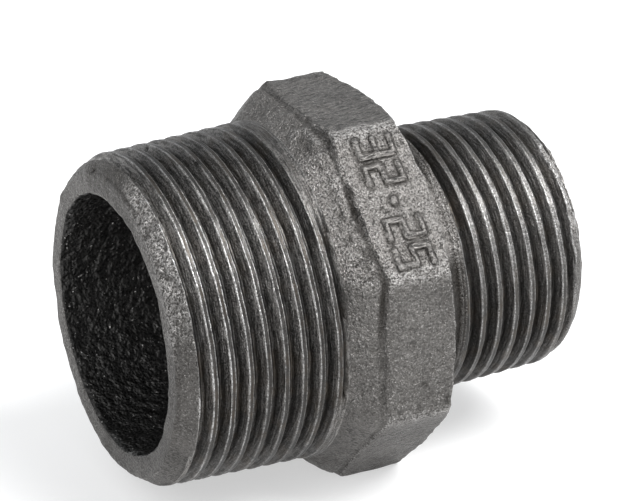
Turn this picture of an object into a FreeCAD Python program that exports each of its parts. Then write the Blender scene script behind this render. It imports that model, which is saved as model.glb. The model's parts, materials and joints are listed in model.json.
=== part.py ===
import FreeCAD, Part
import math
import os

# Reducing nipple, pipe sizes 1 1/4 and 1: one malleable iron casting with an
# octagonal wrench collar, a through passage, and a 55 degree taper pipe thread
# cut on each end. Millimetres. The axis is X, the large end faces -X, and the
# origin is on the axis half way along. A collar flat faces -Z.

# Casting, with stations measured along X from the large end face
LENGTH = 57.0
ACROSS_FLATS = 46.0
FLATS = 8
LARGE_FACE_R = 18.8
LARGE_BEVEL = 2.2
NECK_START = 21.2
SHOULDER_FOOT_X = 24.4
SHOULDER_FOOT_R = 22.45
FLAT_START = 25.1
RISER_SLOPE = 0.35
FLAT_END = 34.8
BACK_SLOPE = 2.0
BACK_FOOT_X = 36.2
BACK_FOOT_R = 18.6
SMALL_NECK_X = 38.4
SMALL_FACE_R = 14.9
SMALL_CHAMFER = 1.6

# Passage: a wide bore, a funnel and a narrow bore
LARGE_BORE_R = 16.25
SMALL_BORE_R = 12.6
LARGE_BORE_LENGTH = 25.0
SMALL_BORE_LENGTH = 22.0

# Taper pipe thread, 11 turns to the inch, 1 in 16 on the diameter
PITCH = 25.4 / 11
FLANK_ANGLE = math.radians(27.5)
GROOVE_DEPTH = 0.640327 * PITCH
CREST_LAND = 0.5
TAPER_ON_RADIUS = 1 / 32
LARGE_MAJOR_R = 41.910 / 2
LARGE_GAUGE = 12.7
SMALL_MAJOR_R = 33.249 / 2
SMALL_GAUGE = 10.4
LARGE_GROOVE_END = 20.4
SMALL_GROOVE_END = 16.3
LEAD_IN = 1.3 * PITCH
CUTTER_OVERRUN = 0.35

# Turn of each thread about its own axis, in degrees, which sets where it starts
LARGE_START_ANGLE = 66.7
SMALL_START_ANGLE = 3.4

# Raised size figures on one flat, cast as straight bars
FIGURE_HEIGHT = 5.2
FIGURE_WIDTH = 2.9
FIGURE_PITCH = 3.6
BAR = 0.75
BAR_RISE = 0.4
DOT_R = 0.56
FIGURE_FLAT = 45.0

X_AXIS = FreeCAD.Vector(1, 0, 0)
Z_AXIS = FreeCAD.Vector(0, 0, 1)
CENTRE = FreeCAD.Vector(0, 0, 0)


def crest_radius(major_r, gauge, from_end):
    """Crest radius of a taper thread at a distance from its own end face."""
    return major_r + (from_end - gauge) * TAPER_ON_RADIUS


def turned(points):
    """Solid of revolution about X from (station, radius) points, closed on the axis."""
    first = (points[0][0], 0.0)
    last = (points[-1][0], 0.0)
    outline = [first] + list(points) + [last, first]
    wire = Part.makePolygon([FreeCAD.Vector(x, 0, r) for x, r in outline])
    return Part.Face(wire).revolve(CENTRE, X_AXIS, 360)


def threaded_end(major_r, gauge, groove_end, start_angle, face_r, bevel, reach):
    """One threaded barrel along +X with its end face at X = 0.

    The groove is cut in a taper longer than the barrel, which is then trimmed to the
    end face and its bevel, so that the thread starts through them.
    """
    overshoot = 2 * LEAD_IN
    long_taper = turned([
        (-overshoot, crest_radius(major_r, gauge, -overshoot)),
        (reach, crest_radius(major_r, gauge, reach)),
    ])
    cutter = groove(major_r, gauge, groove_end)
    cutter.rotate(CENTRE, FreeCAD.Vector(0, 1, 0), 90)
    cutter.rotate(CENTRE, X_AXIS, start_angle)
    clear_r = 2 * major_r
    bevel_r = crest_radius(major_r, gauge, bevel)
    trim = turned([
        (0, face_r),
        (bevel, bevel_r),
        (bevel + clear_r - bevel_r, clear_r),
        (reach, clear_r),
    ])
    return long_taper.cut(cutter).common(trim)


def large_end():
    return threaded_end(LARGE_MAJOR_R, LARGE_GAUGE, LARGE_GROOVE_END, LARGE_START_ANGLE,
                        LARGE_FACE_R, LARGE_BEVEL, FLAT_START)


def small_end():
    barrel = threaded_end(SMALL_MAJOR_R, SMALL_GAUGE, SMALL_GROOVE_END, SMALL_START_ANGLE,
                          SMALL_FACE_R, SMALL_CHAMFER, LENGTH - FLAT_END + 1)
    barrel.rotate(CENTRE, Z_AXIS, 180)
    barrel.translate(X_AXIS * LENGTH)
    return barrel


def collar():
    """Octagonal collar behind a conical shoulder.

    The riser in front of the flats advances RISER_SLOPE along X for each unit that it
    climbs, and the rim behind them falls BACK_SLOPE for each unit along X.
    """
    flat_r = ACROSS_FLATS / 2
    corner_r = flat_r / math.cos(math.pi / FLATS)
    spare = 0.2
    outer_r = corner_r + spare
    neck_r = crest_radius(LARGE_MAJOR_R, LARGE_GAUGE, NECK_START)
    small_r = crest_radius(SMALL_MAJOR_R, SMALL_GAUGE, LENGTH - SMALL_NECK_X)
    envelope = turned([
        (NECK_START, neck_r),
        (SHOULDER_FOOT_X, SHOULDER_FOOT_R),
        (FLAT_START, flat_r),
        (FLAT_START + (outer_r - flat_r) * RISER_SLOPE, outer_r),
        (FLAT_END - (outer_r - flat_r) / BACK_SLOPE, outer_r),
        (FLAT_END, flat_r),
        (BACK_FOOT_X, BACK_FOOT_R),
        (SMALL_NECK_X, small_r),
    ])
    step = 2 * math.pi / FLATS
    corners = [
        FreeCAD.Vector(
            NECK_START,
            -corner_r * math.sin((i + 0.5) * step),
            corner_r * math.cos((i + 0.5) * step),
        )
        for i in range(FLATS)
    ]
    section = Part.Face(Part.makePolygon(corners + corners[:1]))
    prism = section.extrude(X_AXIS * (SMALL_NECK_X - NECK_START))
    return prism.common(envelope)


def passage():
    """The hole right through: wide bore, funnel, narrow bore."""
    margin = 2.0
    return turned([
        (-margin, LARGE_BORE_R),
        (LARGE_BORE_LENGTH, LARGE_BORE_R),
        (LENGTH - SMALL_BORE_LENGTH, SMALL_BORE_R),
        (LENGTH + margin, SMALL_BORE_R),
    ])


def groove(major_r, gauge, end_from_face):
    """Cutter for one right-hand taper thread, about Z, its end face at Z = 0."""
    start = -LEAD_IN
    crest_start = crest_radius(major_r, gauge, start)
    root_r = crest_start - GROOVE_DEPTH
    outer_r = crest_start + CUTTER_OVERRUN
    half_top = (PITCH - CREST_LAND) / 2 + CUTTER_OVERRUN * math.tan(FLANK_ANGLE)
    half_root = half_top - (outer_r - root_r) * math.tan(FLANK_ANGLE)
    taper = math.degrees(math.atan(TAPER_ON_RADIUS))
    spine = Part.makeHelix(PITCH, end_from_face - start, crest_start, taper)
    spine.translate(Z_AXIS * start)
    outline = [
        FreeCAD.Vector(root_r, 0, start - half_root),
        FreeCAD.Vector(outer_r, 0, start - half_top),
        FreeCAD.Vector(outer_r, 0, start + half_top),
        FreeCAD.Vector(root_r, 0, start + half_root),
    ]
    profile = Part.makePolygon(outline + outline[:1])
    return Part.Wire(spine).makePipeShell([profile], True, True)


# Bars of each figure, in half widths across and half heights up, like a seven bar display
BARS = {
    "top": ((-1, 1), (1, 1)),
    "middle": ((-1, 0), (1, 0)),
    "bottom": ((-1, -1), (1, -1)),
    "upper_left": ((-1, 0), (-1, 1)),
    "upper_right": ((1, 0), (1, 1)),
    "lower_left": ((-1, -1), (-1, 0)),
    "lower_right": ((1, -1), (1, 0)),
}
FIGURES = {
    "2": ("top", "upper_right", "middle", "lower_left", "bottom"),
    "3": ("top", "upper_right", "middle", "lower_right", "bottom"),
    "5": ("top", "upper_left", "middle", "lower_right", "bottom"),
}


def figure(name, centre_y):
    """One raised figure on the flat Z = 0, its top towards +X, read along -Y."""
    bars = []
    across = (FIGURE_WIDTH - BAR) / 2
    up = (FIGURE_HEIGHT - BAR) / 2
    for bar in FIGURES[name]:
        (u0, v0), (u1, v1) = BARS[bar]
        low_x = min(v0, v1) * up - BAR / 2
        low_y = centre_y - max(u0, u1) * across - BAR / 2
        size_x = abs(v1 - v0) * up + BAR
        size_y = abs(u1 - u0) * across + BAR
        corner = FreeCAD.Vector(low_x, low_y, -BAR_RISE)
        bars.append(Part.makeBox(size_x, size_y, 2 * BAR_RISE, corner))
    return bars


def size_figures():
    """The two nominal sizes, 32 and 25, with a dot between, standing on one flat."""
    solids = []
    for name, place in (("3", 2.0), ("2", 1.0), ("2", -1.0), ("5", -2.0)):
        solids += figure(name, place * FIGURE_PITCH)
    solids.append(Part.makeCylinder(DOT_R, 2 * BAR_RISE, FreeCAD.Vector(0, 0, -BAR_RISE)))
    mark = solids[0].multiFuse(solids[1:]).removeSplitter()
    mark.translate(FreeCAD.Vector((FLAT_START + FLAT_END) / 2, 0, ACROSS_FLATS / 2))
    mark.rotate(CENTRE, X_AXIS, FIGURE_FLAT)
    return mark


def nipple():
    """The whole casting in one solid, as it is poured and threaded, centred on the origin."""
    ends = large_end().fuse(small_end())
    casting = collar().fuse(size_figures()).fuse(ends)
    hollow = casting.cut(passage())
    hollow.translate(X_AXIS * (-LENGTH / 2))
    return hollow


def main():
    os.makedirs("parts", exist_ok=True)
    shape = nipple()
    print("valid", shape.isValid(), "solids", len(shape.Solids), "faces", len(shape.Faces))
    print("volume", round(shape.Volume, 1), "box", shape.BoundBox)
    shape.Solids[0].exportStep("parts/nipple_body.step")


main()
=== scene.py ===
import json
import math
from itertools import product

import bpy
import numpy as np
from mathutils import Matrix, Vector


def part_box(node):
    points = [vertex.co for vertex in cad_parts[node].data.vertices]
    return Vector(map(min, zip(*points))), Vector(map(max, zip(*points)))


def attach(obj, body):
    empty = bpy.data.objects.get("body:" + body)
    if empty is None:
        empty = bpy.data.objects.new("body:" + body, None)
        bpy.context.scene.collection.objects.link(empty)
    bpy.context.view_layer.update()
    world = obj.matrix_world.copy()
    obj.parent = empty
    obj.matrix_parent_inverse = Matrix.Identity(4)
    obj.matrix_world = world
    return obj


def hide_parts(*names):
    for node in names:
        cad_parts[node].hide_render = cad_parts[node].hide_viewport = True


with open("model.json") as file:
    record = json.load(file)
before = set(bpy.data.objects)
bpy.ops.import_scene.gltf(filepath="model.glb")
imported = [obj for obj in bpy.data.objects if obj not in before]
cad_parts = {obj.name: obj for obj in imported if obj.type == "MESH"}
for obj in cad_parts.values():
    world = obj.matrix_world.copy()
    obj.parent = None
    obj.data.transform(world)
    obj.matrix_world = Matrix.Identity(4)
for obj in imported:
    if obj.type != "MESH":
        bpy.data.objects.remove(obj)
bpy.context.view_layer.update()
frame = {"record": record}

# A reducing nipple: one iron casting with a wrench collar between two taper threads.
# Its axis is X. A station is a distance along X from the large end face, and a turn is
# an angle about X that starts at the top and goes towards -Y. Everything is in metres.

MM = 0.001
NODE = "nipple_body"
LOW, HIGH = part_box(NODE)
MOUNTS = {mount["name"]: mount for mount in frame["record"]["mounts"]}


def mount_dim(name, key):
    """One of a mount's sizes, in metres."""
    return MOUNTS[name]["dims"][key] * MM


LENGTH = HIGH.x - LOW.x
FLAT_R = HIGH.z
LARGE_BORE_R = mount_dim("large_bore", "r_mm")
SMALL_BORE_R = mount_dim("small_bore", "r_mm")
LARGE_BORE_END = mount_dim("large_bore", "length_mm")
SMALL_BORE_START = LENGTH - mount_dim("small_bore", "length_mm")
LARGE_MAJOR_R = mount_dim("large_thread", "r_mm")
SMALL_MAJOR_R = mount_dim("small_thread", "r_mm")
LARGE_GAUGE = MOUNTS["large_thread"]["pos_m"][0] - LOW.x
SMALL_GAUGE = MOUNTS["small_thread"]["pos_m"][0] - LOW.x

# Thread form: 11 turns to the inch, 55 degrees, 1 in 16 on the diameter
PITCH = 0.0254 / 11
DEPTH = 0.640327 * PITCH
FLANK = math.tan(math.radians(27.5))
TAPER = 1 / 32
HALF_LAND = 0.29 * MM

# Large end. Its groove deepens out of the bevel, fades before the neck, and comes back
# in a shallow last stretch that stops short
LARGE_FACE_R = 18.8 * MM
LARGE_BEVEL_END = 2.2 * MM
LARGE_LAND_START = 1.19 * MM
LARGE_RISE = (0.9 * MM, 1.9 * MM)
LARGE_FADE = (19.9 * MM, 20.7 * MM)
LARGE_RETURN = (21.04 * MM, 21.2 * MM)
LARGE_CUT_END = 21.5 * MM
FACE_TILT = 0.2 * MM
FACE_TILT_TURN = math.radians(-5)
OFF_CENTRE = 0.35 * MM
OFF_CENTRE_TURN = math.radians(225)
LARGE_TEAR = 0.32 * MM

# Small end. Its groove starts from nothing beside the collar
SMALL_FACE_R = 14.95 * MM
SMALL_BEVEL_SLOPE = 0.82
SMALL_LAND_START = 41.55 * MM
SMALL_RISE = (38.6 * MM, 39.8 * MM)
SMALL_OFF_CENTRE = 0.28 * MM
SMALL_OFF_CENTRE_TURN = math.radians(140)
SMALL_TEAR = 0.4 * MM

# Collar: its shoulder foot, crease, flats, back slope and the neck behind it
NECK_R = 21.0 * MM
FOOT_X = 24.2 * MM
FOOT_R = 22.45 * MM
CREASE_X = 24.75 * MM
CREASE_R = 22.35 * MM
FLAT_START = 25.1 * MM
RISER_SLOPE = 0.35
FLAT_END = 34.8 * MM
FLAT_MIDDLE = (FLAT_START + FLAT_END) / 2
BACK_SLOPE = 2.0
BACK_FOOT_X = 36.2 * MM
BACK_FOOT_R = 18.6 * MM
SMALL_NECK_X = 38.2 * MM
CORNER_SOFTNESS = 0.12 * MM
SHOULDER_SOFTNESS = 0.5 * MM

# Reaches over which the threads' looks change: bright crests and a paler start by
# distance from the end face, and painted shade by distance from the middle of the collar
FRESH_REACH = (5 * MM, 12 * MM)
PALE_START_REACH = (2.6 * MM, 3.6 * MM)
COLLAR_SHADE_REACH = (10.5 * MM, 14 * MM)

# Stations over which the cast skin's looks come and go
SANDY_STATIONS = (2.5 * MM, 5 * MM)
PALE_STATIONS = (15 * MM, 20 * MM)
PALER_STATIONS = (24 * MM, 26 * MM)
SHOULDER_STATIONS = (20 * MM, 22 * MM)
MELT_STATIONS = (21.8 * MM, 23.4 * MM)
MELT_END_STATIONS = (24.9 * MM, 25.7 * MM)

# Two flats of the casting stand out a little, by their number from the top
FLAT_SHIFTS = {0: 0.18 * MM, 7: 0.6 * MM}

# The flat with the figures faces this turn, and reaches as far as this cosine from it
FIGURE_TURN = math.pi / 4
FIGURE_FLAT_COS = 0.92

# Mesh columns round the axis, and rings along the flats and the passage
FINE_COLUMNS = 88
COLUMNS_PER_FLAT = 32
FLAT_RINGS = 34
SHOULDER_RINGS = 10
PASSAGE_RINGS = 36

# Large numbers that scramble a lattice cell and a seed into a repeatable value
CELL_MIX = np.array([73856093, 19349663, 83492791])
SEED_MIX = 9781
LAST_MIX = 1274126177
KEPT_BITS = 0x7FFFFFFF


def smooth(low, high, value):
    """Eases from 0 to 1 as value goes from low to high."""
    t = np.clip((value - low) / (high - low), 0, 1)
    return t * t * (3 - 2 * t)


def hashed(cell, seed):
    """A repeatable number from -1 to 1 for each lattice cell."""
    mixed = cell.astype(np.int64) @ CELL_MIX + seed * SEED_MIX
    mixed = (mixed ^ (mixed >> 13)) & KEPT_BITS
    mixed = (mixed * LAST_MIX) & KEPT_BITS
    mixed ^= mixed >> 15
    return (mixed & 0xFFFF) / 32767.5 - 1.0


def bumps(points, size, seed):
    """Smooth noise from -1 to 1 whose lumps are about size across."""
    place = points / size
    cell = np.floor(place)
    t = place - cell
    t = t * t * (3 - 2 * t)
    total = np.zeros(len(points))
    for corner in product((0, 1), repeat=3):
        weight = np.prod(np.where(corner, t, 1 - t), axis=1)
        total += weight * hashed(cell + np.array(corner), seed)
    return total


def column_turns():
    """Turns of the columns, closer together across the flat that carries the figures."""
    half = math.pi / 8  # half of the angle that one flat spans
    fine = np.linspace(half, 3 * half, FINE_COLUMNS, endpoint=False)
    rest = np.linspace(3 * half, 17 * half, 7 * COLUMNS_PER_FLAT, endpoint=False)
    return np.sort(np.concatenate([fine, rest % (2 * math.pi)]))


TURNS = column_turns()


def octagon(turn, softness=CORNER_SOFTNESS):
    """Distance from the axis to the collar's flats, with softened corners."""
    total = np.zeros_like(turn)
    for i in range(8):
        reach = np.maximum(np.cos(turn - i * math.pi / 4), 0.2)
        distance = FLAT_R + FLAT_SHIFTS.get(i, 0.0)
        total += np.exp((FLAT_R - distance / reach) / softness)
    return FLAT_R - softness * np.log(total)


def corner_rise(turn):
    """How far an even octagon's outline stands above the middle of its flats."""
    from_middle = (turn + math.pi / 8) % (math.pi / 4) - math.pi / 8
    return FLAT_R / np.cos(from_middle) - FLAT_R


class Skin:
    """The closed surface of the casting, gathered ring by ring as it wraps the axis."""

    def __init__(self):
        self.count = 0
        self.points = []
        self.faces = []
        self.slots = []

    def add(self, station, radius, turn, wear_and_glint=0.0, shade=0.0):
        """Adds points with their wear and shade, and returns their numbers."""
        rows = np.broadcast_arrays(station, radius, turn, wear_and_glint, shade)
        self.points.append(np.stack(rows, axis=1))
        ids = np.arange(self.count, self.count + len(rows[0]))
        self.count += len(rows[0])
        return ids

    def ring(self, station, radius, wear_and_glint=0.0, shade=0.0):
        """Adds one point for each column, all the way round."""
        return self.add(*np.broadcast_arrays(station, radius, TURNS, wear_and_glint, shade))

    def quads(self, a, b, c, d, slot):
        """Adds a face between each four points. Where two of them are one, it has three."""
        slots = np.broadcast_to(slot, a.shape).tolist()
        for *quad, own in zip(a.tolist(), b.tolist(), c.tolist(), d.tolist(), slots):
            corners = list(dict.fromkeys(quad))
            if len(corners) > 2:
                self.faces.append(corners)
                self.slots.append(own)

    def join(self, one, two, slot):
        """Faces between two rings."""
        self.quads(one, np.roll(one, -1), np.roll(two, -1), two, slot)

    def loft(self, rings, slot):
        """Faces from each ring to the next."""
        for one, two in zip(rings, rings[1:]):
            self.join(one, two, slot)

    def stations(self, ids):
        return np.concatenate(self.points)[ids, 0]

    def radii(self, ids):
        return np.concatenate(self.points)[ids, 1]

    def touched(self, slot):
        """Which points have a face with this material."""
        touched = np.zeros(self.count, dtype=bool)
        for corners, own in zip(self.faces, self.slots):
            if own == slot:
                touched[corners] = True
        return touched


# Material slots
CAST, CUT, BORE = 0, 1, 2

# Across one thread, from the left edge of a land: distance from its middle in
# millimetres, wear from 0 to 1, painted shade from 0 to 1, darkest on the flank after the
# land and in the root, and dip in millimetres
THREAD_STEPS = (
    (-0.26, 1.00, 0.00, 0.00),
    (-0.11, 0.00, 0.85, 0.07),
    (0.18, 0.00, 0.85, 0.08),
    (0.32, 0.90, 0.00, 0.00),
    (0.43, 0.00, 0.95, 0.00),
    (0.75, 0.00, 1.00, 0.00),
    (1.06, 0.00, 0.92, 0.00),
    (1.28, 0.00, 0.70, 0.00),
    (1.46, 0.00, 0.35, 0.00),
    (1.64, 0.12, 0.15, 0.00),
    (1.80, 0.00, 0.25, 0.00),
    (1.95, 0.05, 0.10, 0.00),
)

# The steps that are the left and right edges of a land
LEFT_EDGE, RIGHT_EDGE = 0, 3

# A row point closer than this to a ring that bounds the thread takes the ring's point
ROW_GAP = 0.05 * MM

# Reach of the rubbed burr on both sides of a bevel's edge
BURR = 0.14 * MM

# Turned ridges on the neck behind the collar: station and height in millimetres, wear, and painted
# shade, darkest in the grooves between them
NECK_STEPS = (
    (38.75, -0.15, 0.0, 1.0),
    (39.08, 0.12, 0.6, 0.3),
    (39.38, -0.12, 0.0, 0.9),
    (39.64, 0.05, 0.5, 0.2),
    (39.75, -0.05, 0.0, 1.0),
)

# Nicks knocked in the casting: station in millimetres, turn in degrees, size in millimetres
NICKS = (
    (0.5, -17, 0.7),
    (7.4, -14, 0.5),
    (8.9, -19, 0.6),
    (10.2, 10, 0.8),
    (7.1, 21, 0.6),
    (7.2, 65, 0.35),
    (12.6, 88, 0.4),
    (30.5, 103, 0.7),
    (33.6, 109, 0.8),
    (45.2, 4, 0.6),
)


def thread_depth(offset):
    """How deep the groove is below the crest, by distance along X from a land's middle."""
    nearest = min(abs(offset), PITCH - offset)
    return min(max(nearest - HALF_LAND, 0) / FLANK, DEPTH)


class ThreadLooks:
    """How one thread is worn and darkened, for each column of the skin.

    The crests are rubbed bright, most near the end face, where fresh says how bright, and
    their lines get painted highlight, strongest towards the front where the lamp glints on
    them. The flanks get painted shade above and below, and the grooves near the collar
    more of it. Scored says how sunk the middle of each land is, and how dark it is with
    painted shade. Torn and paired give the first and last turn, in degrees, of the rough
    part of the bevel and of the part where both edges of a land are rubbed, not only the left one.
    """

    def __init__(self, face_x, fresh, scored, torn, paired):
        self.face_x = face_x
        self.fresh = fresh
        self.scored = scored
        # painted highlight: the crest lines are brightened by turn, most towards the front where
        # the lamp glints
        self.glint_by_turn = 0.45 + 0.55 * sector(TURNS, 50, 72, 45)
        lower = 0.85 * sector(TURNS, 55, 240, 40) * self.glint_by_turn
        self.left = 0.13 + 0.4 * sector(TURNS, -60, 8, 10) + lower
        self.right = 0.3 * sector(TURNS, 28, 108, 10) + 0.7 * sector(TURNS, *paired, 10)
        # painted shade: the flanks are darkened everywhere but towards the front, more below
        self.shade_off_front = 0.6 * (1 - sector(TURNS, 25, 70, 25)) + 0.2 * sector(TURNS, 110, 240)
        self.bevel_wear = sector(TURNS, *torn, 15)
        self.bevel_shade = 0.22 * (1 - sector(TURNS, 15, 45)) + 0.2 * sector(TURNS, -40, 0, 12)
        self.burr_wear = sector(TURNS, 25, 95)
        self.pale_start = 0.45 * (1 - sector(TURNS, 45, 85, 15))
        # painted shade on the grooves near the collar, over the top and towards the front
        self.collar_shade = 0.6 * sector(TURNS, -40, 48, 14)

    def row(self, i, place, station):
        """Station, wear, darkness and dip in metres of the row for one thread step."""
        _, wear_and_glint, shade, dip = THREAD_STEPS[i]
        from_end = abs(station - self.face_x)
        if i in (LEFT_EDGE, RIGHT_EDGE):
            kept = self.fresh + (0.7 - self.fresh) * smooth(*FRESH_REACH, from_end)
            line = bumps(place, 2.2 * MM, 32 + i)
            station = station + 0.04 * MM * line
            edge = self.left if i == LEFT_EDGE else self.right * kept
            wear_and_glint = wear_and_glint * np.clip(0.85 + 0.6 * line, 0.1, 1.0) * edge * kept
        elif LEFT_EDGE < i < RIGHT_EDGE:
            wear_and_glint = 0.6 * (1 - self.scored) * self.glint_by_turn * sector(TURNS, 40, 70, 20)
            shade = shade * self.scored
            dip = dip * self.scored
        dark = shade + (1 - shade) * self.shade_off_front
        dark = dark * (1 - self.pale_start * (1 - smooth(*PALE_START_REACH, from_end)))
        from_collar = abs(station - FLAT_MIDDLE)
        collar_shaded = self.collar_shade * (1 - smooth(*COLLAR_SHADE_REACH, from_collar))
        return station, wear_and_glint, dark + (1 - dark) * collar_shaded, dip * MM

    def pits(self, station, radius):
        """Darkness of the pits in the rough part of the bevel."""
        return 0.45 * self.bevel_wear * smooth(0.1, 0.5, ring_noise(0.7 * MM, 17, station, radius))

    def burr(self, above):
        """Wear of the burr, by how far the bevel stands above the thread."""
        return self.burr_wear * np.exp(-((above / BURR) ** 2))


def thread(skin, start, end, first_land, crest, limit, strength, looks):
    """A helical groove between two rings.

    By station, crest is the radius before the groove is cut, limit is the radius that the
    bevel trims it to, and strength is the share of its full depth that the groove has.
    The rows follow the helix, so each crest edge is one line of the mesh. A row point
    that falls outside the rings takes the ring's own point.
    """
    start_x = skin.stations(start)
    end_x = skin.stations(end)
    lowest = math.floor((start_x.min() - first_land) / PITCH) - 2
    highest = math.ceil((end_x.max() - first_land) / PITCH) + 1
    rows = []
    trims = []
    for number in range(lowest, highest + 1):
        middle = first_land + PITCH * (number + TURNS / (2 * math.pi))
        place = turned_points(TURNS, middle, crest(middle))
        wander = 0.06 * MM * bumps(place, 3 * MM, 31) + 0.04 * MM * bumps(place, 1.2 * MM, 30)
        cut = strength(middle + PITCH / 2)
        bite = 0.35 + 0.65 * np.maximum(cut, strength(middle - PITCH / 2))
        for i, step in enumerate(THREAD_STEPS):
            offset = step[0] * MM
            station, wear_and_glint, dark, dip = looks.row(i, place, middle + offset + wander)
            before = station <= start_x + ROW_GAP
            inside = ~before & (station < end_x - ROW_GAP)
            cut_r = crest(station) - thread_depth(offset) * cut - dip
            limit_r = limit(station)
            trim = before | (limit_r < cut_r)
            wear_and_glint = np.where(trim, 0.75 * looks.bevel_wear, wear_and_glint * bite)
            wear_and_glint = np.maximum(wear_and_glint, looks.burr(limit_r - cut_r))
            bevel_shade = looks.bevel_shade + looks.pits(station, limit_r)
            shade = np.where(trim, bevel_shade, 0.5 + (dark - 0.5) * cut)
            radius = np.minimum(cut_r, limit_r)
            columns = (station, radius, TURNS, wear_and_glint, shade)
            ids = np.where(before, start, end)
            ids[inside] = skin.add(*(column[inside] for column in columns))
            rows.append(ids)
            trims.append(trim)
    weave(skin, rows, trims)


def weave(skin, rows, trims):
    """Joins each row of a thread to the next one, and its end to the start a turn later."""
    count = len(THREAD_STEPS)
    for i, (one, two) in enumerate(zip(rows, rows[1:])):
        both = trims[i] & trims[i + 1]
        slots = np.where(both[:-1] & both[1:], CAST, CUT)
        skin.quads(one[:-1], one[1:], two[1:], two[:-1], slots)
        if i + 1 + count < len(rows):
            later_one = rows[i + count]
            later_two = rows[i + 1 + count]
            slots = np.where(both[-1:] & trims[i + count][:1], CAST, CUT)
            skin.quads(one[-1:], later_one[:1], later_two[:1], two[-1:], slots)


def large_crest(station):
    return LARGE_MAJOR_R + (station - LARGE_GAUGE) * TAPER


def small_crest(station):
    return SMALL_MAJOR_R + (SMALL_GAUGE - station) * TAPER


def turned_points(turn, station, radius):
    """Places of points that are given by turn, station and radius."""
    return np.stack([station + LOW.x, -radius * np.sin(turn), radius * np.cos(turn)], axis=1)


def ring_noise(size, seed, station=0.0, radius=20 * MM):
    """Noise that runs round a ring and meets itself."""
    station, radius, turn = np.broadcast_arrays(station, radius, TURNS)
    return bumps(turned_points(turn, station, radius), size, seed)


def sector(turn, first, last, blur=12):
    """1 for turns between two angles in degrees, easing to 0 over a blur outside them."""
    middle, half = (first + last) / 2, (last - first) / 2
    away = abs((np.degrees(turn) - middle + 180) % 360 - 180)
    return 1 - smooth(half, half + blur, away)


def large_rim():
    """Radius of the large end face, cut a little off centre."""
    lean = OFF_CENTRE * np.cos(TURNS - OFF_CENTRE_TURN)
    return LARGE_FACE_R + lean + 0.08 * MM * ring_noise(4 * MM, 11)


def large_limit(station):
    """The bevel that trims the first turns of the large thread, torn along one side."""
    torn = LARGE_TEAR * sector(TURNS, 20, 75) * ring_noise(0.8 * MM, 13)
    rim_r = large_rim()
    slope = (large_crest(LARGE_BEVEL_END) - rim_r) / LARGE_BEVEL_END
    return rim_r + station * slope + torn


def small_rim():
    """Radius of the small end face, cut a little off centre."""
    return SMALL_FACE_R - SMALL_OFF_CENTRE * np.cos(TURNS - SMALL_OFF_CENTRE_TURN)


def small_limit(station):
    """The bevel that trims the small thread's last turn, flaked along one side."""
    torn = SMALL_TEAR * sector(TURNS, 15, 75) * ring_noise(1.3 * MM, 14)
    return small_rim() + 0.05 * MM + (LENGTH - station) * SMALL_BEVEL_SLOPE + torn


def large_strength(groove):
    """The large groove deepens from the bevel, fades, and stops short after a last stretch."""
    begin = smooth(*LARGE_RISE, groove)
    fade = 1 - 0.85 * smooth(*LARGE_FADE, groove)
    end = 0.7 * smooth(*LARGE_RETURN, groove)
    return begin * (fade + end) * (groove < LARGE_CUT_END)


def small_strength(groove):
    """The small groove starts from nothing beside the collar."""
    return smooth(*SMALL_RISE, groove)


def large_end(skin, bore_edge):
    """End face, bevel and large thread. Returns the ring where the cutting stops."""
    face = [bore_edge]
    edge_r = skin.radii(bore_edge)
    rim_r = large_rim()
    tilt = FACE_TILT * np.cos(TURNS - FACE_TILT_TURN)
    worn = 0.7 * sector(TURNS, 25, 75) + 0.15 * sector(TURNS, 140, 170)
    dull = 0.36 - 0.1 * sector(TURNS, 30, 70) - 0.34 * sector(TURNS, 135, 320, 30)
    for share in (0.12, 0.4, 0.7, 0.92):
        radius = edge_r + (rim_r - edge_r) * share
        face.append(skin.ring(tilt * share, radius, wear_and_glint=worn * share**2, shade=dull))
    face.append(skin.ring(tilt + 0.08 * MM, rim_r + 0.05 * MM, wear_and_glint=worn, shade=dull))
    edge_shade = dull + 0.15 * sector(TURNS, -40, 15)
    face.append(skin.ring(tilt + 0.32 * MM, rim_r + 0.27 * MM, wear_and_glint=worn, shade=edge_shade))
    skin.loft(face, CAST)
    last = skin.ring(LARGE_CUT_END, large_crest(LARGE_CUT_END))
    looks = ThreadLooks(face_x=0.0, fresh=1.3, scored=1.0, torn=(20, 62), paired=(42, 66))
    thread(skin, face[-1], last, LARGE_LAND_START,
           large_crest, large_limit, large_strength, looks)
    return last


def small_end(skin, first, bore_edge):
    """Small thread, bevel and end face, from the ring where the cutting starts."""
    rim_r = small_rim()
    rim = skin.ring(LENGTH - 0.12 * MM, rim_r + 0.1 * MM)
    looks = ThreadLooks(face_x=LENGTH, fresh=0.8, scored=0.7, torn=(28, 66), paired=(52, 68))
    thread(skin, first, rim, SMALL_LAND_START,
           small_crest, small_limit, small_strength, looks)
    face = [rim, skin.ring(LENGTH, rim_r)]
    edge_r = skin.radii(bore_edge)
    for share in (0.8, 0.5, 0.2):
        radius = edge_r + (rim_r - edge_r) * share
        face.append(skin.ring(LENGTH - 0.02 * MM, radius))
    face.append(bore_edge)
    skin.loft(face, CAST)


def between(skin, rings, station, radius, count, shade=0.0, wear_and_glint=0.0):
    """Adds evenly spaced rings from the last one to the given station and radius."""
    from_x = skin.stations(rings[-1])
    from_r = skin.radii(rings[-1])
    for step in range(1, count + 1):
        share = step / count
        rings.append(skin.ring(
            from_x + (station - from_x) * share,
            from_r + (radius - from_r) * share,
            wear_and_glint=wear_and_glint,
            shade=shade,
        ))


def shoulder(skin, rings, foot_x, foot_r, corner):
    """The blend from the round neck to the octagon, fuller at the corners."""
    for step in range(1, SHOULDER_RINGS + 1):
        share = step / SHOULDER_RINGS
        rings.append(skin.ring(
            LARGE_CUT_END + (foot_x - LARGE_CUT_END) * share,
            NECK_R + (foot_r - NECK_R) * share ** (1 - 0.35 * corner),
        ))


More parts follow.
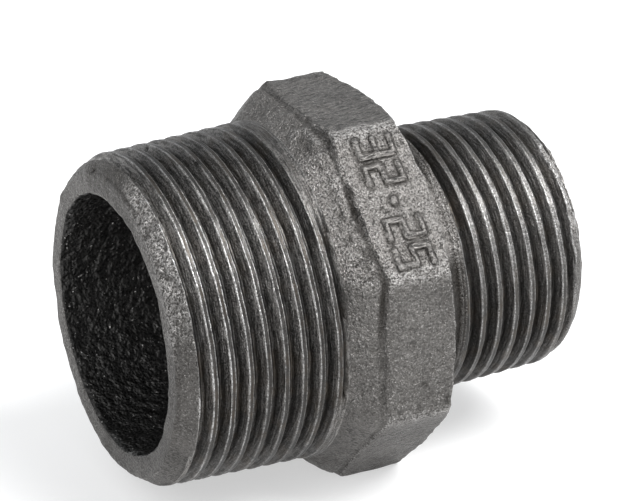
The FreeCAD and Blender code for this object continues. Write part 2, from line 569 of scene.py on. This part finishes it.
def creases(skin, rings, near, flat, corner, front, edge):
    """The crease between the shoulder and the flats, painted dark as shade, and the lip behind it.

    Near is the station where the flats begin. Front and edge are the wear on the lip and
    on the corners of the flats.
    """
    depth = 0.2 + 0.8 * sector(TURNS, 43, 74, 22) - 0.2 * sector(TURNS, 116, 165)
    # dark is painted shade in the crease, strongest towards the front and broken by noise
    dark = depth * np.clip(0.85 + 0.22 * ring_noise(1.2 * MM, 18), 0, 1)
    softness = SHOULDER_SOFTNESS * (1 + 2.6 * sector(TURNS, 8, 34, 14))
    foot_r = octagon(TURNS, softness) - (FLAT_R - FOOT_R)
    crease_r = octagon(TURNS, softness) - (FLAT_R - CREASE_R)
    shoulder(skin, rings, near - (FLAT_START - FOOT_X), foot_r, corner)
    shift = 0.35 * sector(TURNS, 45, 95) - 0.35 * sector(TURNS, 10, 26, 14)
    crease = near - (FLAT_START - CREASE_X) + shift * MM
    uneven = 0.4 * MM * ring_noise(1.5 * MM, 16) + 0.3 * MM * ring_noise(0.7 * MM, 19)
    valley_r = crease_r + (foot_r - crease_r) * (1 - depth)
    between(skin, rings, crease + 0.3 * uneven, valley_r, 2, shade=dark)
    between(skin, rings, crease + 0.25 * MM, 0.5 * (crease_r + flat), 2, shade=0.6 * dark)
    rim = 0.6 * MM * corner * depth
    lip_r = flat - 0.1 * MM - 0.3 * rim
    between(skin, rings, crease + 0.4 * MM + 0.3 * rim, lip_r, 2, wear_and_glint=front)
    between(skin, rings, crease + 0.7 * MM + rim, flat - 0.1 * rim, 1, wear_and_glint=edge)


def back_slope(skin, rings):
    """The slope behind the flats, and the turned neck that the small thread starts from."""
    bright = sector(TURNS, 36, 62, 12)
    between(skin, rings, FLAT_END + 0.1 * MM, FLAT_R - 0.3 * MM, 2)
    between(skin, rings, BACK_FOOT_X, BACK_FOOT_R, 5)
    # painted shade in the slot behind the back slope and in the neck's grooves, less between 36
    # and 62 degrees
    dull = 0.8 * (1 - bright)
    between(skin, rings, SMALL_NECK_X, small_crest(SMALL_NECK_X), 3, shade=dull)
    torn = 0.2 * MM * ring_noise(0.8 * MM, 15)
    for step, height, wear_and_glint, shade in NECK_STEPS:
        ring_x = step * MM
        ring_r = small_crest(ring_x) + height * (MM + 2 * torn)
        wear_and_glint = wear_and_glint * (0.2 + 0.8 * bright)
        shade = shade * (1 - 0.5 * bright)
        between(skin, rings, ring_x, ring_r, 1, wear_and_glint=wear_and_glint, shade=shade)


def collar(skin, last):
    """Shoulder, crease, octagonal flats and back slope. Returns the last ring."""
    flat = octagon(TURNS)
    rise = corner_rise(TURNS)
    corner = smooth(0.1 * MM, 1.6 * MM, rise)
    lower = sector(TURNS, 100, 135)
    edge = smooth((1.2 + 0.35 * lower) * MM, 1.8 * MM, rise) * sector(TURNS, 15, 120)
    edge = (0.85 - 0.25 * lower) * edge
    front = np.maximum(edge, 0.6 * sector(TURNS, 114, 165, 8))
    near = FLAT_START + rise * RISER_SLOPE
    far = FLAT_END - rise / BACK_SLOPE
    rings = [last]
    creases(skin, rings, near, flat, corner, front, edge)
    between(skin, rings, far - 0.25 * MM, flat, FLAT_RINGS, wear_and_glint=edge)
    between(skin, rings, far, flat - 0.06 * MM, 1, wear_and_glint=0.5)
    between(skin, rings, far + 0.1 * MM, flat - 0.25 * MM, 1, wear_and_glint=0.3)
    back_slope(skin, rings)
    skin.loft(rings, CAST)
    return rings[-1]


def bore_radius(station):
    """The cast wall: a wide bore a little off centre, a funnel and a narrow bore."""
    share = smooth(LARGE_BORE_END, SMALL_BORE_START, station)
    lean = OFF_CENTRE * np.cos(TURNS - OFF_CENTRE_TURN) * (1 - share)
    return LARGE_BORE_R + (SMALL_BORE_R - LARGE_BORE_R) * share + lean


def passage(skin, small_edge, large_edge):
    """The wall of the hole, from the small end back to the large end."""
    rings = [small_edge]
    for station in np.linspace(LENGTH - 0.5 * MM, 0.6 * MM, PASSAGE_RINGS):
        rings.append(skin.ring(station, bore_radius(station)))
    rings.append(large_edge)
    skin.loft(rings, BORE)


def casting_skin():
    """The whole surface: large end, collar, small end and passage."""
    skin = Skin()
    lumps = 0.18 * MM * ring_noise(5 * MM, 21) + 0.08 * MM * ring_noise(2 * MM, 22)
    large_edge = skin.ring(0.08 * MM, bore_radius(0.0) + 0.12 * MM + lumps)
    small_edge = skin.ring(LENGTH - 0.1 * MM, bore_radius(LENGTH) + 0.1 * MM + 0.5 * lumps)
    last = large_end(skin, large_edge)
    first = collar(skin, last)
    small_end(skin, first, small_edge)
    passage(skin, small_edge, large_edge)
    return skin


# Bars of each figure, in half widths across and half heights up, like a seven bar display
BARS = {
    "top": ((-1, 1), (1, 1)),
    "middle": ((-1, 0), (1, 0)),
    "bottom": ((-1, -1), (1, -1)),
    "upper_left": ((-1, 0), (-1, 1)),
    "upper_right": ((1, 0), (1, 1)),
    "lower_left": ((-1, -1), (-1, 0)),
    "lower_right": ((1, -1), (1, 0)),
}
FIGURES = {
    "2": ("top", "upper_right", "middle", "lower_left", "bottom"),
    "3": ("top", "upper_right", "middle", "lower_right", "bottom"),
    "5": ("top", "upper_left", "middle", "lower_right", "bottom"),
}
FIGURE_PITCH = 3.6 * MM
FIGURE_ACROSS = 1.08 * MM
FIGURE_UP = 2.22 * MM
BAR_HALF = 0.38 * MM
BAR_BEVEL = 0.2 * MM
BAR_RISE = 0.42 * MM
OUTLINE_IN = (0.18 * MM, 0.42 * MM)
OUTLINE_OUT = (0.5 * MM, 0.78 * MM)


def to_segment(x, y, one, two):
    """Distance from each point to the line between two points."""
    dx = two[0] - one[0]
    dy = two[1] - one[1]
    t = np.clip(((x - one[0]) * dx + (y - one[1]) * dy) / (dx * dx + dy * dy), 0, 1)
    return np.hypot(x - one[0] - t * dx, y - one[1] - t * dy)


def figures(station, across):
    """Height of the raised figures, 32 and 25 with a dot between, and the outline round them that
    is painted dark as shade.
    """
    flat_place = np.stack([station, across, 0 * across], axis=1)
    uneven = 0.1 * MM * bumps(flat_place, 0.8 * MM, 41)
    nearest = np.hypot(station - FLAT_MIDDLE, across) - 0.2 * MM
    for name, place in (("3", -2), ("2", -1), ("2", 1), ("5", 2)):
        for bar in FIGURES[name]:
            ends = [
                (FLAT_MIDDLE + v * FIGURE_UP, place * FIGURE_PITCH + u * FIGURE_ACROSS)
                for u, v in BARS[bar]
            ]
            nearest = np.minimum(nearest, to_segment(station, across, *ends))
    nearest = nearest + uneven
    height = 1 - smooth(BAR_HALF - BAR_BEVEL, BAR_HALF + BAR_BEVEL, nearest)
    outline = smooth(*OUTLINE_IN, nearest) * (1 - smooth(*OUTLINE_OUT, nearest))
    return np.array([height, outline])


def vectors(layer, name):
    """One vector for each item of a mesh layer, as rows."""
    values = np.empty(len(layer) * 3)
    layer.foreach_get(name, values)
    return values.reshape(-1, 3)


def bare_mesh(skin, points):
    """The skin as a smooth mesh, before the casting's unevenness."""
    mesh = bpy.data.meshes.new(NODE + "_skin")
    mesh.from_pydata(points.tolist(), [], skin.faces)
    mesh.polygons.foreach_set("material_index", skin.slots)
    mesh.polygons.foreach_set("use_smooth", [True] * len(mesh.polygons))
    mesh.update()
    return mesh


def paleness(turn, station, front):
    """How much painted light lifts the cast skin's colour: most on the flat with the figures and
    before it.
    """
    pale = front * (0.6 * smooth(*PALE_STATIONS, station) + 0.4 * smooth(*PALER_STATIONS, station))
    shoulder = sector(turn, -10, 98, 18) * smooth(*SHOULDER_STATIONS, station)
    return pale + 0.08 * shoulder * (station < FLAT_START)


def sandiness(turn, station, front, threaded, on_collar):
    """How coarse the grain is, from calm near 0.3 to sandy near 1. The small thread is calm."""
    sandy = 0.38 + 0.27 * sector(turn, -160, 110)
    sandy += 0.5 * front * smooth(*SANDY_STATIONS, station)
    sandy = np.where(threaded, np.where(station > FLAT_END, 0.45, 1.0), sandy)
    return sandy - 0.3 * sector(turn, -20, 20, 3) * on_collar


def cast_lift(where, sandy, wear_and_glint, melted, blobs):
    """Unevenness of the cast skin in millimetres."""
    rough = 0.08 * bumps(where, 5 * MM, 1) + 0.09 * bumps(where, 2.2 * MM, 2)
    rough += 0.3 * melted * blobs
    return rough + (0.12 * sandy + 0.16 * wear_and_glint) * bumps(where, 0.8 * MM, 3)


def cut_lift(where, wear_and_glint):
    """Unevenness of the cut threads in millimetres, with nicks in their worn crests."""
    nicks = smooth(0.5, 0.8, bumps(where, 1.3 * MM, 6))
    scored = 0.02 * bumps(where, 1.5 * MM, 4) + 0.02 * bumps(where, 0.6 * MM, 5)
    return scored - 0.14 * wear_and_glint * nicks


def bore_lift(where):
    """Unevenness of the passage's wall in millimetres."""
    deep = 0.25 * bumps(where, 5 * MM, 7) + 0.22 * bumps(where, 2 * MM, 8)
    return deep + 0.1 * bumps(where, 0.9 * MM, 9)


def nick_hits(station, radius, turn):
    """For each nick, its size in millimetres and how strongly each point is hit by it."""
    for nick_x, nick_turn, size in NICKS:
        around = radius * ((turn - math.radians(nick_turn) + math.pi) % (2 * math.pi) - math.pi)
        away = np.hypot(station - nick_x * MM, around)
        yield size, np.exp(-((away / (0.5 * size * MM)) ** 2))


def nipple_mesh():
    """The casting's mesh, with wear and glint, painted shade, sandy, and pale values for its
    materials; pale is painted light.
    """
    skin = casting_skin()
    station, radius, turn, wear_and_glint, shade = np.concatenate(skin.points).T
    mesh = bare_mesh(skin, turned_points(turn, station, radius))
    where = vectors(mesh.vertices, "co")
    normal = vectors(mesh.vertex_normals, "vector")
    cast, cut, bore = (skin.touched(slot) for slot in (CAST, CUT, BORE))
    on_collar = (station > FLAT_START) & (station < FLAT_END)
    facing = on_collar & cast & (np.cos(turn - FIGURE_TURN) > FIGURE_FLAT_COS)
    height, outline = figures(station, radius * np.sin(turn - FIGURE_TURN)) * facing

    front = sector(turn, 27, 63, 8)
    # pale is painted light on the flat with the figures and the shoulder before it
    pale = paleness(turn, station, front)
    sandy = sandiness(turn, station, front, cut & ~cast, on_collar)
    melted = sector(turn, 8, 62) * smooth(*MELT_STATIONS, station)
    melted *= 1 - smooth(*MELT_END_STATIONS, station)
    blobs = bumps(where, 1.1 * MM, 10)
    # painted shade in the dips of the lumpy band before the flats, and painted highlight on their
    # tops
    shade = np.maximum(shade, 0.55 * melted * smooth(0.1, 0.5, -blobs))
    wear_and_glint = np.maximum(wear_and_glint, 0.4 * melted * smooth(0.15, 0.5, blobs))

    lift = MM * (cast & ~cut) * cast_lift(where, sandy, wear_and_glint, melted, blobs)
    lift += MM * cut * cut_lift(where, wear_and_glint)
    lift += MM * (bore & ~cast) * bore_lift(where)
    for size, hit in nick_hits(station, radius, turn):
        hit = hit * ~bore
        lift -= 0.35 * size * MM * hit
        shade = np.maximum(shade, hit)
        wear_and_glint = wear_and_glint * (1 - hit)
    outward = np.array([0.0, -math.sin(FIGURE_TURN), math.cos(FIGURE_TURN)])
    where = where + normal * lift[:, None] + outward * (BAR_RISE * height)[:, None]
    mesh.vertices.foreach_set("co", where.ravel())

    sandy = sandy * (1 - 0.7 * np.maximum(height, outline))
    # painted shade round the figures
    shade = np.maximum(shade, 0.95 * outline)
    # painted shade: the underside from the collar on is darkened
    underside = sector(turn, 122, 240) * (cast & ~cut & (station > FLAT_START))
    shade = np.maximum(shade, 0.3 * underside)
    for name, values in (("wear_and_glint", wear_and_glint), ("shade", shade), ("sandy", sandy), ("pale", pale)):
        trait = mesh.attributes.new(name, "FLOAT", "POINT")
        trait.data.foreach_set("value", values.astype(np.float32))
    mesh.update()
    return mesh


class Nodes:
    """Short ways to build one material's nodes."""

    def __init__(self, name):
        self.material = bpy.data.materials.new(name)
        self.material.use_nodes = True
        self.tree = self.material.node_tree
        self.shader = self.tree.nodes["Principled BSDF"]
        self.place = self.tree.nodes.new("ShaderNodeTexCoord").outputs["Object"]

    def put(self, socket, value):
        """Links a socket to another node's output, or sets its number or colour."""
        if isinstance(value, bpy.types.NodeSocket):
            self.tree.links.new(value, socket)
        else:
            socket.default_value = value

    def trait(self, name):
        """A value that the mesh carries on its vertices."""
        node = self.tree.nodes.new("ShaderNodeAttribute")
        node.attribute_name = name
        return node.outputs["Fac"]

    def noise(self, size, detail=2.0, rough=0.5, stretch=(1, 1, 1)):
        """Noise from 0 to 1 with lumps of this size, drawn out by stretch along X, Y, Z."""
        mapping = self.tree.nodes.new("ShaderNodeMapping")
        mapping.inputs["Scale"].default_value = [1 / (size * s) for s in stretch]
        self.tree.links.new(self.place, mapping.inputs["Vector"])
        node = self.tree.nodes.new("ShaderNodeTexNoise")
        node.inputs["Scale"].default_value = 1.0
        node.inputs["Detail"].default_value = detail
        node.inputs["Roughness"].default_value = rough
        self.tree.links.new(mapping.outputs["Vector"], node.inputs["Vector"])
        return node.outputs["Fac"]

    def times(self, one, two):
        return self.math("MULTIPLY", one, two)

    def math(self, operation, one, two=0.0, three=0.0):
        node = self.tree.nodes.new("ShaderNodeMath")
        node.operation = operation
        for socket, value in zip(node.inputs, (one, two, three)):
            self.put(socket, value)
        return node.outputs[0]

    def ramp(self, value, low, high, to_low=0.0, to_high=1.0):
        """Maps value from low..high to to_low..to_high, with eased ends."""
        node = self.tree.nodes.new("ShaderNodeMapRange")
        node.interpolation_type = "SMOOTHSTEP"
        for name, number in (("Value", value), ("From Min", low), ("From Max", high),
                             ("To Min", to_low), ("To Max", to_high)):
            self.put(node.inputs[name], number)
        return node.outputs["Result"]

    def mix(self, share, one, two):
        """Colour one where share is 0 and colour two where it is 1."""
        node = self.tree.nodes.new("ShaderNodeMix")
        node.data_type = "RGBA"
        self.put(node.inputs["Factor"], share)
        self.put(node.inputs["A"], one)
        self.put(node.inputs["B"], two)
        return node.outputs["Result"]

    def bump(self, layers):
        """Normal from (height, depth in metres) layers."""
        normal = None
        for height, depth in layers:
            node = self.tree.nodes.new("ShaderNodeBump")
            node.inputs["Strength"].default_value = 1.0
            node.inputs["Distance"].default_value = depth
            self.tree.links.new(height, node.inputs["Height"])
            if normal is not None:
                self.tree.links.new(normal, node.inputs["Normal"])
            normal = node.outputs["Normal"]
        return normal

    def finish(self, colour, roughness, metallic, normal):
        """Fills in the surface shader, and returns the material."""
        self.put(self.shader.inputs["Base Color"], colour)
        self.put(self.shader.inputs["Roughness"], roughness)
        self.put(self.shader.inputs["Metallic"], metallic)
        self.put(self.shader.inputs["Normal"], normal)
        return self.material


def grey(value, warmth=0.0):
    """A grey with more red and less blue by the share warmth."""
    return (value * (1 + warmth), value, value * (1 - warmth), 1.0)


def cast_skin():
    """Sand cast iron with a thin dark scale, rubbed bright on its corners. Its colour also carries
    painted light and painted shade from the mesh's traits.
    """
    n = Nodes("cast_skin")
    grain = n.noise(0.26 * MM, 2.0, 0.6)
    lumps = n.noise(0.8 * MM, 2.0, 0.5)
    patch = n.noise(5 * MM, 3.0, 0.55)
    wrinkle = n.noise(0.3 * MM, 3.0, 0.6, stretch=(3.5, 1, 1))
    sandy = n.trait("sandy")
    calm = n.ramp(sandy, 0.25, 0.6, 1.0, 0.0)
    base = n.mix(n.ramp(patch, 0.3, 0.7), grey(0.107, 0.05), grey(0.144, 0.05))
    # painted light: the pale trait lifts the flat with the figures and the shoulder before it
    # towards a paler grey
    base = n.mix(n.trait("pale"), base, grey(0.33, 0.05))
    base = n.mix(n.times(calm, n.ramp(wrinkle, 0.54, 0.37)), base, grey(0.025, 0.04))
    hollows = n.times(n.ramp(lumps, 0.48, 0.34), n.ramp(sandy, 0.3, 0.9, 0.0, 0.45))
    base = n.mix(hollows, base, grey(0.05, 0.12))
    pits = n.times(n.ramp(grain, 0.5, 0.32), n.ramp(sandy, 0.2, 1.0, 0.5, 0.85))
    base = n.mix(pits, base, grey(0.045, 0.06))
    ripple = n.math("ABSOLUTE", n.math("SUBTRACT", n.noise(0.5 * MM, 1.0, 0.5), 0.5))
    veins = n.times(n.ramp(ripple, 0.06, 0.0), n.ramp(sandy, 0.3, 1.0, 0.0, 0.6))
    base = n.mix(veins, base, grey(0.05, 0.06))
    peaks = n.times(n.ramp(grain, 0.56, 0.76), n.ramp(sandy, 0.45, 1.05, 0.15, 1.0))
    base = n.mix(peaks, base, grey(0.62, 0.03))
    worn = n.times(n.ramp(grain, 0.4, 0.6), n.ramp(lumps, 0.35, 0.6, 0.4, 1.0))
    # wear and glint: rubbed bright metal, with painted highlight on the tops of the lumpy band
    base = n.mix(n.times(n.trait("wear_and_glint"), worn), base, grey(0.5, 0.03))
    # painted shade: the shade trait darkens the crease, the figures' outlines, dips, grooves and
    # the underside, and also the end face, bevel and nicks
    painted_shade = n.times(n.trait("shade"), n.ramp(lumps, 0.25, 0.6, 0.75, 1.0))
    base = n.mix(painted_shade, base, grey(0.02, 0.14))
    rough = n.ramp(grain, 0.3, 0.7, 0.52, 0.40)
    sand = n.ramp(sandy, 0.0, 1.0, 0.2, 1.0)
    normal = n.bump([
        (n.times(lumps, sand), 0.6 * MM),
        (n.times(grain, sand), 0.5 * MM),
        (n.times(wrinkle, calm), 0.8 * MM),
    ])
    return n.finish(base, rough, 0.85, normal)


def cut_thread():
    """Threads cut in the dark iron: bright torn crests, streaked flanks, and roots painted near
    black as shade.
    """
    n = Nodes("cut_thread")
    streak = n.noise(0.12 * MM, 2.0, 0.6, stretch=(1, 18, 18))
    patch = n.noise(3 * MM, 3.0, 0.6)
    grain = n.noise(0.24 * MM, 2.0, 0.6)
    speckle = n.math("MULTIPLY_ADD", streak, 0.6, n.times(grain, 0.4))
    grit = n.math("MULTIPLY_ADD", n.math("SUBTRACT", speckle, 0.5), n.trait("sandy"), 0.5)
    flank = n.mix(n.ramp(grit, 0.42, 0.6), grey(0.07, 0.05), grey(0.4, 0.04))
    flank = n.mix(n.ramp(patch, 0.35, 0.7, 0.0, 0.4), flank, grey(0.1, 0.05))
    root = n.mix(n.ramp(patch, 0.45, 0.65), grey(0.026, 0.05), grey(0.038, 0.2))
    root = n.mix(n.ramp(grit, 0.56, 0.75), root, grey(0.09, 0.04))
    # painted shade: the shade trait turns the flank colour into the dark root colour
    base = n.mix(n.trait("shade"), flank, root)
    crest = n.mix(n.ramp(grain, 0.35, 0.65), grey(0.25, 0.02), grey(0.75, 0.01))
    broken = n.ramp(n.noise(0.6 * MM, 3.0, 0.6), 0.36, 0.54, 0.3, 1.0)
    # crest lines: rubbed bright metal, with painted highlight strongest towards the front
    base = n.mix(n.times(n.trait("wear_and_glint"), broken), base, crest)
    rough = n.ramp(streak, 0.3, 0.7, 0.45, 0.32)
    open_grain = n.times(grain, n.ramp(n.trait("shade"), 0.5, 1.0, 1.0, 0.3))
    open_grain = n.times(open_grain, n.ramp(n.trait("sandy"), 0.0, 1.0, 0.5, 1.0))
    normal = n.bump([(open_grain, 0.14 * MM), (streak, 0.07 * MM)])
    return n.finish(base, rough, 0.9, normal)


def bore_wall():
    """The rough inside of the casting, dark with a few shining grains."""
    n = Nodes("bore_wall")
    grain = n.noise(0.5 * MM, 3.0, 0.65)
    base = n.mix(n.ramp(grain, 0.35, 0.7), grey(0.015, 0.04), grey(0.06, 0.04))
    specks = n.noise(0.32 * MM, 1.0, 0.5)
    base = n.mix(n.ramp(specks, 0.69, 0.78), base, grey(0.5, 0.03))
    rough = n.ramp(grain, 0.3, 0.7, 0.5, 0.28)
    normal = n.bump([(n.noise(1.4 * MM, 2.0, 0.6), 0.9 * MM), (grain, 0.2 * MM)])
    return n.finish(base, rough, 0.7, normal)


def nipple():
    """The one visible piece, in place of the designed casting."""
    piece = bpy.data.objects.new("nipple_casting", nipple_mesh())
    bpy.context.scene.collection.objects.link(piece)
    for material in (cast_skin(), cut_thread(), bore_wall()):
        piece.data.materials.append(material)
    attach(piece, "root")
    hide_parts(NODE)


def floor():
    """A pale matt floor that the bottom flat rests on. It glows a little, which lights the casting
    from below and keeps its shadow faint.
    """
    half = 3.0
    mesh = bpy.data.meshes.new("floor")
    corners = [(x * half, y * half, LOW.z) for x, y in ((-1, -1), (1, -1), (1, 1), (-1, 1))]
    mesh.from_pydata(corners, [], [(0, 1, 2, 3)])
    piece = bpy.data.objects.new("floor", mesh)
    bpy.context.scene.collection.objects.link(piece)
    material = bpy.data.materials.new("floor")
    material.use_nodes = True
    shader = material.node_tree.nodes["Principled BSDF"]
    shader.inputs["Base Color"].default_value = grey(0.5)
    shader.inputs["Roughness"].default_value = 0.9
    shader.inputs["Emission Color"].default_value = grey(1.0)
    shader.inputs["Emission Strength"].default_value = 0.53
    mesh.materials.append(material)


def direction(azimuth, elevation):
    """Unit vector towards an azimuth from -Y and an elevation, in degrees."""
    az, el = math.radians(azimuth), math.radians(elevation)
    return Vector((math.sin(az) * math.cos(el), -math.cos(az) * math.cos(el), math.sin(el)))


def softbox(name, azimuth, elevation, distance, side, power):
    """A soft square lamp that faces the origin."""
    lamp = bpy.data.lights.new(name, "AREA")
    lamp.shape = "SQUARE"
    lamp.size = side
    lamp.energy = power
    holder = bpy.data.objects.new(name, lamp)
    bpy.context.scene.collection.objects.link(holder)
    towards = direction(azimuth, elevation)
    holder.location = towards * distance
    holder.rotation_euler = towards.to_track_quat("Z", "Y").to_euler()


def lights():
    """An even pale surround with one large soft lamp and a weaker one."""
    world = bpy.data.worlds.new("studio")
    world.use_nodes = True
    surround = world.node_tree.nodes["Background"]
    surround.inputs["Color"].default_value = grey(1.0, -0.03)
    surround.inputs["Strength"].default_value = 0.62
    bpy.context.scene.world = world
    softbox("key", azimuth=45, elevation=55, distance=2.0, side=1.0, power=62.0)
    softbox("fill", azimuth=-60, elevation=40, distance=2.0, side=1.2, power=12.0)


# Camera: where it stands from the object in degrees, its roll, what it looks at, how far
# away it is, and its lens
CAMERA_AZIMUTH = -26.05
CAMERA_ELEVATION = 24.21
CAMERA_ROLL = math.radians(-0.92)
CAMERA_TARGET = Vector((-1.04, 1.52, 3.32)) * MM
CAMERA_DISTANCE = 432.46 * MM
CAMERA_LENS = 202.1


def camera():
    """A long lens, from the large end's side and from above."""
    back = direction(CAMERA_AZIMUTH, CAMERA_ELEVATION)
    right = (-back).cross(Vector((0, 0, 1))).normalized()
    up = right.cross(-back)
    across = right * math.cos(CAMERA_ROLL) + up * math.sin(CAMERA_ROLL)
    upward = up * math.cos(CAMERA_ROLL) - right * math.sin(CAMERA_ROLL)
    data = bpy.data.cameras.new("camera")
    data.sensor_width = 36
    data.lens = CAMERA_LENS
    data.clip_start = 0.01
    holder = bpy.data.objects.new("camera", data)
    bpy.context.scene.collection.objects.link(holder)
    matrix = Matrix((across, upward, back)).transposed().to_4x4()
    matrix.translation = CAMERA_TARGET + back * CAMERA_DISTANCE
    holder.matrix_world = matrix
    bpy.context.scene.camera = holder


nipple()
floor()
lights()
camera()
bpy.context.scene.view_settings.view_transform = "Standard"
